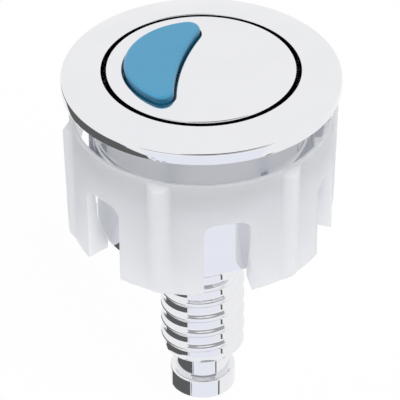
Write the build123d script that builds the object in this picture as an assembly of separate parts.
from build123d import *
import os
from math import cos, radians, sin, sqrt

# Dual flush push button for a cistern lid, in millimetres. Z is up along the button's axis, and
# z = 0 is the underside of the bezel's flange, which seats on the lid. The crescent button lies
# towards -X.

# Clearances
slide_gap = 0.3          # radial play of a piece that slides in another
face_gap = 0.3           # play at a stop
screw_gap = 0.05         # between a screw and the hole that it cuts its thread in

# Bezel and barrel
barrel_r = 22.0          # outside of the barrel, which passes through the lid's hole
barrel_len = 32.6        # below the flange's underside
barrel_wall = 1.0        # wall where the cage sits
ledge_w = 0.4            # step in the bore that the cage stands against
flange_h = 3.8           # at the button's bore
flange_edge_h = 1.9      # at the rim
crown_drop = 1.1         # fall of the top face from the bore to the rim's rounding
crown_mid_drop = 0.35    # fall half way there
rim_round = 0.7
bore_round = 0.3
barrel_chamfer = 0.4
barrel_thread_pitch = 2.0
barrel_thread_h = 0.35
barrel_thread_base = 1.1
barrel_thread_crest = 0.5
barrel_thread_top = 11.2
barrel_thread_len = 4.0

# Flange seal
seal_inset = 0.7         # from the barrel's outside
seal_w = 2.5
seal_h = 1.2
seal_proud = 0.2

# Ring nut
lid_space = 6.5          # between the flange and the nut at its highest
nut_room = 5.4           # from the barrel to the outside of the nut's wall
nut_h = 27.4
nut_rim_w = 1.0          # wall round the nut's mouth
nut_rim_round = 0.5
nut_mouth_h = 3.8        # from the rim down to the threaded bore
nut_finger_w = 2.2       # wall of the fingers under the threaded bore
nut_foot_h = 1.9         # plain foot inside a finger, which clears the barrel
nut_curve_h = 12.4       # a finger's inside curves in over this height, down to its foot
nut_slots = 6
nut_slot_w = 10.4
nut_slot_h = 17.7        # up from the nut's bottom
nut_slot_round = 2.75
nut_slot_turn = 24.0     # degrees from -Y towards +X to the first slot
nut_rib_w = 4.8
nut_rib_bottom = 1.0     # how far a rib stands out at its foot
nut_rib_top = 1.6        # and at its head
nut_rib_head = 1.8       # from the nut's rim down to a rib's head
nut_rib_round = 1.2

# Full flush button
button_gap = 1.0         # visible gap between the button and its bore
button_proud = 0.5       # above the bezel's top
button_face_t = 2.0
button_skirt_t = 1.3
button_round = 0.5
full_travel = 7.0

# Carrier under the button
skirt_depth = 9.3        # the button's skirt ends this far below the flange's underside
plate_t = 2.6
buffer_t = 1.0
buffer_inset = 0.2
upstand_t = 1.2
upstand_h = 1.6
upstand_gap = 0.15
hub_wall = 2.15
cap_screw_angles = (-70, 0, 70)
cap_screw_r = 1.3
cap_screw_len = 9.0
cap_screw_head_r = 2.1
cap_screw_head_h = 1.5
cap_boss_r = 2.3
cap_boss_inset = 1.8     # from the skirt's bore to the bosses

# Crescent button
crescent_rim = 3.4       # from the button's edge to the crescent's back
crescent_shift = 1.4     # from the button's axis to the centre of the crescent's back
crescent_reach = 4.3     # from the axis to the middle of the crescent's front
crescent_front_r = 54.0
crescent_tip_r = 2.8
crescent_proud = 1.3     # above the full flush button
crescent_wall = 1.6
crescent_edge_round = 0.8
crescent_flange_w = 0.9
crescent_flange_h = 1.5
crescent_gap = 0.25

# Arm from the crescent to the inner rod
arm_t = 2.0
arm_w = 9.0
arm_hub_r = 8.2
arm_hub_h = 4.0
arm_screw_y = 7.5
arm_screw_r = 1.0
arm_screw_len = 5.4
arm_screw_head_r = 1.8
arm_screw_head_h = 1.1
arm_boss_r = 2.1

# Stem
stem_top = 15.2          # below the flange's underside
stem_len = 51.9
stem_crest_r = 9.05
stem_thread_depth = 0.75
stem_pitch = 4.0
stem_thread_base = 2.2
stem_thread_crest = 1.3
stem_thread_start = 2.85  # the helix starts this far below the stem's end
stem_end_round = 1.8
bush_wall = 1.0
bush_len = 7.0

# Inner rod
rod_r = 5.8
neck_len = 6.0           # free of the stem, above the collar
collar_r = 7.06
collar_len = 4.7
collar_chamfer = 0.4
rod_bore_r = 3.6
rod_bore_len = 48.0
rod_screw_r = 1.5
rod_screw_len = 14.0
rod_screw_head_r = 3.2
rod_screw_head_h = 1.4

# Lock nut
lock_nut_h = 4.5
lock_nut_flats = 27.0

# Cage
sleeve_wall = 1.6
sleeve_play = 0.7        # left above the sleeve at full travel
sleeve_below = 2.6       # below the cage's floor
cage_floor_t = 2.0
cage_floor_up = 8.1      # from the barrel's end to the floor's top
cage_rise = 3.6          # of the cage's wall above its floor, up to the ledge
cage_wall = 1.3
cage_gap = 0.1
cage_windows = 6
window_span = 38.0       # degrees
window_w = 2.6

# Snap ring
snap_ring_up = 1.1       # from the barrel's end
snap_ring_t = 1.0
snap_ring_depth = 0.4    # into the barrel's wall
snap_ring_w = 1.7
snap_ring_split = 18.0   # degrees
snap_ring_gap = 0.05

# Springs
full_wire = 1.2
full_spring_gap = 1.2
full_coils = 4.0
half_wire = 0.9
half_spring_gap = 0.45
half_coils = 4.0
washer_t = 0.6
washer_gap = 0.3

# Radii that follow
nut_r = barrel_r + nut_room
flange_r = nut_r + nut_rib_top
cage_bore_r = barrel_r - barrel_wall
guide_bore_r = cage_bore_r - ledge_w
button_r = guide_bore_r - button_gap
skirt_bore_r = button_r - button_skirt_t
cap_screw_circle_r = skirt_bore_r - cap_boss_inset - cap_boss_r
stem_core_r = stem_crest_r - stem_thread_depth
stem_bore_r = rod_r + slide_gap
bush_r = stem_bore_r + bush_wall
hub_bore_r = stem_crest_r + screw_gap
hub_r = hub_bore_r + hub_wall
sleeve_bore_r = hub_r + slide_gap
sleeve_r = sleeve_bore_r + sleeve_wall
barrel_crest_r = barrel_r + barrel_thread_h
nut_thread_bore_r = barrel_crest_r + slide_gap
nut_foot_r = barrel_r + slide_gap
nut_mouth_r = nut_r - nut_rim_w
nut_finger_r = nut_r - nut_finger_w
snap_groove_r = cage_bore_r + snap_ring_depth

# Heights that follow
barrel_end_z = -barrel_len
button_top_z = flange_h + button_proud
button_under_z = button_top_z - button_face_t
plate_top_z = -skirt_depth
plate_under_z = plate_top_z - plate_t
sleeve_top_z = plate_under_z - full_travel - sleeve_play
cage_floor_z = barrel_end_z + cage_floor_up
ledge_z = cage_floor_z + cage_rise
cage_under_z = cage_floor_z - cage_floor_t
sleeve_end_z = cage_under_z - sleeve_below
buffer_top_z = sleeve_end_z - face_gap
hub_end_z = buffer_top_z - buffer_t
snap_ring_z = barrel_end_z + snap_ring_up
snap_ring_top_z = snap_ring_z + snap_ring_t
crescent_top_z = button_top_z + crescent_proud
crescent_flange_z = button_under_z - face_gap
crescent_under_z = crescent_flange_z - crescent_flange_h
arm_under_z = crescent_under_z - arm_t
arm_hub_z = crescent_under_z - arm_hub_h
stem_top_z = -stem_top
stem_end_z = stem_top_z - stem_len
rod_neck_z = stem_end_z - neck_len
rod_end_z = rod_neck_z - collar_len
nut_top_z = -lid_space
nut_end_z = nut_top_z - nut_h


def turned(points):
    """A solid turned about Z from an outline of (radius, height) points."""
    return revolve(Plane.XZ * make_face(Polyline(*points, close=True)), Axis.Z)


def tube(outer_r, inner_r, low_z, high_z):
    """A ring of rectangular section."""
    ring = Circle(outer_r) - Circle(inner_r)
    return Pos(0, 0, low_z) * extrude(ring, high_z - low_z)


def rod(r, low_z, high_z):
    return Pos(0, 0, low_z) * extrude(Circle(r), high_z - low_z)


def prism(outline, low_z, high_z):
    return Pos(0, 0, low_z) * extrude(outline, high_z - low_z)


def around(count, shape, first=0.0):
    """Copies of a shape evenly spaced round Z."""
    return [Rot(0, 0, first + 360.0 * i / count) * shape for i in range(count)]


def helical_rib(root_r, crest_r, pitch, base, crest, low_z, height):
    """A trapezoid thread ridge, its root sunk a little into the core that carries it."""
    root_sink = 0.3
    path = Pos(0, 0, low_z) * Helix(pitch, height, root_r)
    section = Polyline(
        (-root_sink, -base / 2),
        (0, -base / 2),
        (crest_r - root_r, -crest / 2),
        (crest_r - root_r, crest / 2),
        (0, base / 2),
        (-root_sink, base / 2),
        close=True,
    )
    start = Plane(origin=path @ 0, x_dir=(1, 0, 0), z_dir=path % 0)
    return sweep(start * make_face(section), path=path, is_frenet=True)


def coil(mean_r, wire, coils, low_z, high_z):
    """A compression spring between two seats."""
    height = high_z - low_z - wire
    path = Pos(0, 0, low_z + wire / 2) * Helix(height / coils, height, mean_r)
    start = Plane(origin=path @ 0, z_dir=path % 0)
    return sweep(start * Circle(wire / 2), path=path, is_frenet=True)


def screw(shank_r, length, head_r, head_h):
    """A pan head screw that points up, its head's seat at z = 0."""
    slot = Pos(0, 0, -head_h) * Box(2 * head_r, head_h / 2, head_h)
    bevel = head_h / 2
    head = turned([(0, -head_h), (head_r - bevel, -head_h), (head_r, -bevel), (head_r, 0), (0, 0)])
    return head + rod(shank_r, 0, length) - slot


def crescent(grow=0.0):
    """The crescent's outline, grown or shrunk all round."""
    back = Pos(crescent_shift, 0) * Circle(button_r - crescent_rim + crescent_shift)
    front = Pos(crescent_front_r - crescent_reach, 0) * Circle(crescent_front_r)
    outline = back - front
    outline = fillet(outline.vertices(), crescent_tip_r)
    return offset(outline, grow) if grow else outline


def bezel_barrel():
    crown_z = flange_h - crown_drop
    rim_r = flange_r - rim_round
    profile = Curve() + [
        Line((guide_bore_r, ledge_z), (guide_bore_r, flange_h - bore_round)),
        Line((guide_bore_r, flange_h - bore_round), (guide_bore_r + bore_round, flange_h)),
        ThreePointArc(
            (guide_bore_r + bore_round, flange_h),
            ((guide_bore_r + rim_r) / 2, flange_h - crown_mid_drop),
            (rim_r, crown_z),
        ),
        Line((rim_r, crown_z), (flange_r, flange_edge_h)),
        Line((flange_r, flange_edge_h), (flange_r, 0)),
        Line((flange_r, 0), (barrel_r + seal_inset + seal_w, 0)),
        Line((barrel_r + seal_inset + seal_w, 0), (barrel_r + seal_inset + seal_w, seal_h - seal_proud)),
        Line(
            (barrel_r + seal_inset + seal_w, seal_h - seal_proud),
            (barrel_r + seal_inset, seal_h - seal_proud),
        ),
        Line((barrel_r + seal_inset, seal_h - seal_proud), (barrel_r + seal_inset, 0)),
        Line((barrel_r + seal_inset, 0), (barrel_r, 0)),
        Line((barrel_r, 0), (barrel_r, barrel_end_z + barrel_chamfer)),
        Line((barrel_r, barrel_end_z + barrel_chamfer), (barrel_r - barrel_chamfer, barrel_end_z)),
        Line((barrel_r - barrel_chamfer, barrel_end_z), (cage_bore_r, barrel_end_z)),
        Line((cage_bore_r, barrel_end_z), (cage_bore_r, ledge_z)),
        Line((cage_bore_r, ledge_z), (guide_bore_r, ledge_z)),
    ]
    body = revolve(Plane.XZ * make_face(profile), Axis.Z)
    groove = tube(snap_groove_r, cage_bore_r - slide_gap, snap_ring_z, snap_ring_top_z)
    thread = helical_rib(
        barrel_r,
        barrel_crest_r,
        barrel_thread_pitch,
        barrel_thread_base,
        barrel_thread_crest,
        -barrel_thread_top - barrel_thread_len,
        barrel_thread_len,
    )
    return body - groove + thread


def flange_seal():
    inner_r = barrel_r + seal_inset
    return tube(inner_r + seal_w, inner_r, -seal_proud, seal_h - seal_proud)


def ring_nut():
    web_top_z = nut_top_z - nut_mouth_h
    web_end_z = nut_end_z + nut_slot_h
    foot_top_z = nut_end_z + nut_foot_h
    curve_top_z = foot_top_z + nut_curve_h
    profile = Curve() + [
        Line((nut_mouth_r, nut_top_z), (nut_r - nut_rim_round, nut_top_z)),
        Line((nut_r - nut_rim_round, nut_top_z), (nut_r, nut_top_z - nut_rim_round)),
        Line((nut_r, nut_top_z - nut_rim_round), (nut_r, nut_end_z)),
        Line((nut_r, nut_end_z), (nut_foot_r, nut_end_z)),
        Line((nut_foot_r, nut_end_z), (nut_foot_r, foot_top_z)),
        TangentArc((nut_finger_r, curve_top_z), (nut_foot_r, foot_top_z), tangent=(0, -1)),
        Line((nut_finger_r, curve_top_z), (nut_finger_r, web_end_z)),
        Line((nut_finger_r, web_end_z), (nut_thread_bore_r, web_end_z)),
        Line((nut_thread_bore_r, web_end_z), (nut_thread_bore_r, web_top_z)),
        Line((nut_thread_bore_r, web_top_z), (nut_mouth_r, web_top_z)),
        Line((nut_mouth_r, web_top_z), (nut_mouth_r, nut_top_z)),
    ]
    body = revolve(Plane.XZ * make_face(profile), Axis.Z)
    half_step = 180.0 / nut_slots
    first_slot = nut_slot_turn - 90
    body = body + around(nut_slots, nut_rib(), first_slot + half_step)
    body = body - around(nut_slots, nut_slot(), first_slot)
    return body


def nut_rib():
    """A grip rib on the nut's side towards +X, wider apart at its head than at its foot."""
    head_z = nut_top_z - nut_rib_head
    foot_r = nut_r + nut_rib_bottom
    head_r = nut_r + nut_rib_top
    middle_r = nut_r - nut_rim_w / 2
    plan = Pos((middle_r + head_r) / 2, 0) * Rectangle(head_r - middle_r, nut_rib_w)
    plan = fillet(plan.vertices().group_by(Axis.X)[-1], nut_rib_round)
    envelope = turned(
        [
            (0, nut_end_z),
            (foot_r - nut_rib_bottom, nut_end_z),
            (foot_r, nut_end_z + nut_rib_bottom),
            (head_r, head_z - nut_rib_top),
            (head_r - nut_rib_top, head_z),
            (0, head_z),
        ]
    )
    return prism(plan, nut_end_z, head_z) & envelope


def nut_slot():
    """The space of one slot, open at the nut's bottom."""
    outer_r = nut_r + nut_rib_top
    outline = Rectangle(nut_slot_w, 2 * nut_slot_h)
    outline = fillet(outline.vertices(), nut_slot_round)
    side = Plane(origin=(0, 0, nut_end_z), x_dir=(0, 1, 0), z_dir=(1, 0, 0))
    return extrude(side * outline, outer_r)


def full_button_cap():
    face = rod(button_r, button_under_z, button_top_z)
    face = fillet(face.edges().group_by(Axis.Z)[-1], button_round)
    skirt = tube(button_r, skirt_bore_r, plate_top_z, button_under_z)
    cap = face + skirt - prism(crescent(crescent_gap), button_under_z, button_top_z)
    for place in cap_screw_places():
        cap += place * rod(cap_boss_r, plate_top_z, button_under_z)
        cap -= place * rod(cap_screw_r + screw_gap, plate_top_z, cap_screw_z() + cap_screw_len + face_gap)
    return cap


def cap_screw_places():
    return [Rot(0, 0, a) * Pos(cap_screw_circle_r, 0, 0) for a in cap_screw_angles]


def cap_screw_z():
    """Height of the seats of the cap's screws, sunk in the carrier's underside."""
    return plate_under_z + cap_screw_head_h


def cap_screws():
    one = screw(cap_screw_r, cap_screw_len, cap_screw_head_r, cap_screw_head_h)
    return [place * Pos(0, 0, cap_screw_z()) * one for place in cap_screw_places()]


def button_carrier():
    plate = tube(button_r, hub_bore_r, plate_under_z, plate_top_z)
    hub = tube(hub_r, hub_bore_r, hub_end_z, plate_under_z)
    upstand_r = skirt_bore_r - upstand_gap
    upstand = tube(upstand_r, upstand_r - upstand_t, plate_top_z, plate_top_z + upstand_h)
    carrier = plate + hub + upstand
    for place in cap_screw_places():
        carrier -= place * rod(cap_screw_head_r + screw_gap, plate_under_z, cap_screw_z())
        carrier -= place * rod(cap_screw_r + screw_gap, plate_under_z, plate_top_z)
    return carrier


def return_buffer():
    """A ring round the hub's end that meets the cage's sleeve when the button comes back."""
    return tube(sleeve_r - buffer_inset, hub_r, hub_end_z, buffer_top_z)


def threaded_stem():
    core = rod(stem_core_r, stem_end_z, stem_top_z)
    core = fillet(core.edges().group_by(Axis.Z)[0], stem_end_round - stem_thread_depth)
    helix_z = stem_end_z - stem_thread_start
    thread = helical_rib(
        stem_core_r,
        stem_crest_r,
        stem_pitch,
        stem_thread_base,
        stem_thread_crest,
        helix_z,
        stem_top_z - helix_z,
    )
    envelope = rod(stem_crest_r, stem_end_z, stem_top_z)
    envelope = fillet(envelope.edges().group_by(Axis.Z)[0], stem_end_round)
    bore = rod(stem_bore_r, stem_end_z, stem_top_z)
    bush_seat = rod(bush_r, stem_end_z, stem_end_z + bush_len)
    return core + (thread & envelope) - bore - bush_seat


def stem_bush():
    return tube(bush_r, stem_bore_r - slide_gap / 2, stem_end_z, stem_end_z + bush_len)


def stem_lock_nut():
    across_corners_r = lock_nut_flats / sqrt(3)
    outline = RegularPolygon(across_corners_r, 6) - Circle(hub_bore_r)
    return prism(outline, hub_end_z - lock_nut_h, hub_end_z)


def half_button_cap():
    button = prism(crescent(), crescent_under_z, crescent_top_z)
    button = fillet(button.edges().group_by(Axis.Z)[-1], crescent_edge_round)
    button += prism(crescent(crescent_flange_w), crescent_under_z, crescent_flange_z)
    button -= prism(crescent(-crescent_wall), crescent_under_z, crescent_top_z - crescent_wall)
    for place in arm_screw_places():
        button += place * rod(arm_boss_r, crescent_under_z, crescent_top_z - crescent_wall)
        button -= place * rod(arm_screw_r + screw_gap, crescent_under_z, arm_screw_tip_z() + screw_gap)
    return button


def arm_screw_places():
    """Two places on the crescent's middle line."""
    back_r = button_r - crescent_rim + crescent_shift
    back_x = crescent_shift - sqrt(back_r**2 - arm_screw_y**2)
    front_x = crescent_front_r - crescent_reach - sqrt(crescent_front_r**2 - arm_screw_y**2)
    return [Pos((back_x + front_x) / 2, side * arm_screw_y, 0) for side in (-1, 1)]


def arm_screw_tip_z():
    return arm_under_z + arm_screw_len


def half_cap_screws():
    one = Pos(0, 0, arm_under_z) * screw(arm_screw_r, arm_screw_len, arm_screw_head_r, arm_screw_head_h)
    return [place * one for place in arm_screw_places()]


def half_bridge():
    arm_x = arm_screw_places()[0].position.X
    plate = crescent(crescent_flange_w) + Pos(arm_x / 2, 0) * Rectangle(-arm_x, arm_w) + Circle(arm_hub_r)
    bridge = prism(plate, arm_under_z, crescent_under_z)
    bridge += rod(arm_hub_r, arm_hub_z, arm_under_z)
    bridge -= rod(rod_screw_r + screw_gap, arm_hub_z, crescent_under_z)
    for place in arm_screw_places():
        bridge -= place * rod(arm_screw_r + screw_gap, arm_under_z, crescent_under_z)
    return bridge


def inner_rod():
    collar = turned(
        [
            (0, rod_end_z),
            (collar_r - collar_chamfer, rod_end_z),
            (collar_r, rod_end_z + collar_chamfer),
            (collar_r, rod_neck_z - collar_chamfer),
            (collar_r - collar_chamfer, rod_neck_z),
            (0, rod_neck_z),
        ]
    )
    body = collar + rod(rod_r, rod_neck_z, arm_hub_z)
    body -= rod(rod_bore_r, rod_end_z, rod_end_z + rod_bore_len)
    body -= rod(rod_screw_r + screw_gap, crescent_under_z - rod_screw_len - face_gap, arm_hub_z)
    return body


def rod_screw():
    down = Rot(180, 0, 0) * screw(rod_screw_r, rod_screw_len, rod_screw_head_r, rod_screw_head_h)
    return Pos(0, 0, crescent_under_z) * down


def half_spring_washer():
    return tube(hub_bore_r - washer_gap, stem_bore_r, stem_top_z, stem_top_z + washer_t)


def half_spring():
    mean_r = rod_r + half_spring_gap + half_wire / 2
    return coil(mean_r, half_wire, half_coils, stem_top_z + washer_t, arm_hub_z)


def full_spring():
    mean_r = sleeve_r + full_spring_gap + full_wire / 2
    return coil(mean_r, full_wire, full_coils, cage_floor_z, plate_under_z)


def guide_cage():
    outer_r = cage_bore_r - cage_gap
    wall_inner_r = outer_r - cage_wall
    wall = tube(outer_r, wall_inner_r, snap_ring_top_z, ledge_z)
    floor = tube(outer_r, sleeve_bore_r, cage_under_z, cage_floor_z)
    sleeve = tube(sleeve_r, sleeve_bore_r, sleeve_end_z, sleeve_top_z)
    cage = wall + floor + sleeve
    window = window_outline(wall_inner_r - window_w, wall_inner_r)
    return cage - around(cage_windows, prism(window, cage_under_z, cage_floor_z))


def window_outline(inner_r, outer_r):
    """A drain window in the cage's floor, between two radii."""
    far = 2 * outer_r
    half = radians(window_span / 2)
    edge = (far * cos(half), far * sin(half))
    wedge = make_face(Polyline((0, 0), edge, (edge[0], -edge[1]), close=True))
    return (Circle(outer_r) - Circle(inner_r)) & wedge


def cage_snap_ring():
    outer_r = snap_groove_r - snap_ring_gap
    ring = tube(outer_r, outer_r - snap_ring_w, snap_ring_z, snap_ring_top_z)
    half = radians(snap_ring_split / 2)
    edge = (2 * outer_r * cos(half), 2 * outer_r * sin(half))
    split = make_face(Polyline((0, 0), edge, (edge[0], -edge[1]), close=True))
    return ring - prism(split, snap_ring_z, snap_ring_top_z)


sub_parts = {
    "bezel_barrel": bezel_barrel,
    "flange_seal": flange_seal,
    "guide_cage": guide_cage,
    "cage_snap_ring": cage_snap_ring,
    "full_spring": full_spring,
    "ring_nut": ring_nut,
    "full_button_cap": full_button_cap,
    "button_carrier": button_carrier,
    "return_buffer": return_buffer,
    "cap_screws": cap_screws,
    "threaded_stem": threaded_stem,
    "stem_bush": stem_bush,
    "stem_lock_nut": stem_lock_nut,
    "half_spring": half_spring,
    "half_spring_washer": half_spring_washer,
    "half_button_cap": half_button_cap,
    "half_bridge": half_bridge,
    "half_cap_screws": half_cap_screws,
    "inner_rod": inner_rod,
    "rod_screw": rod_screw,
}

os.makedirs("parts", exist_ok=True)
for name, make in sub_parts.items():
    shape = make()
    if isinstance(shape, list):
        shape = Compound(children=[Part(s.wrapped) for s in shape])
    export_step(shape, f"parts/{name}.step")
    print(name, round(shape.volume, 1), "mm3")
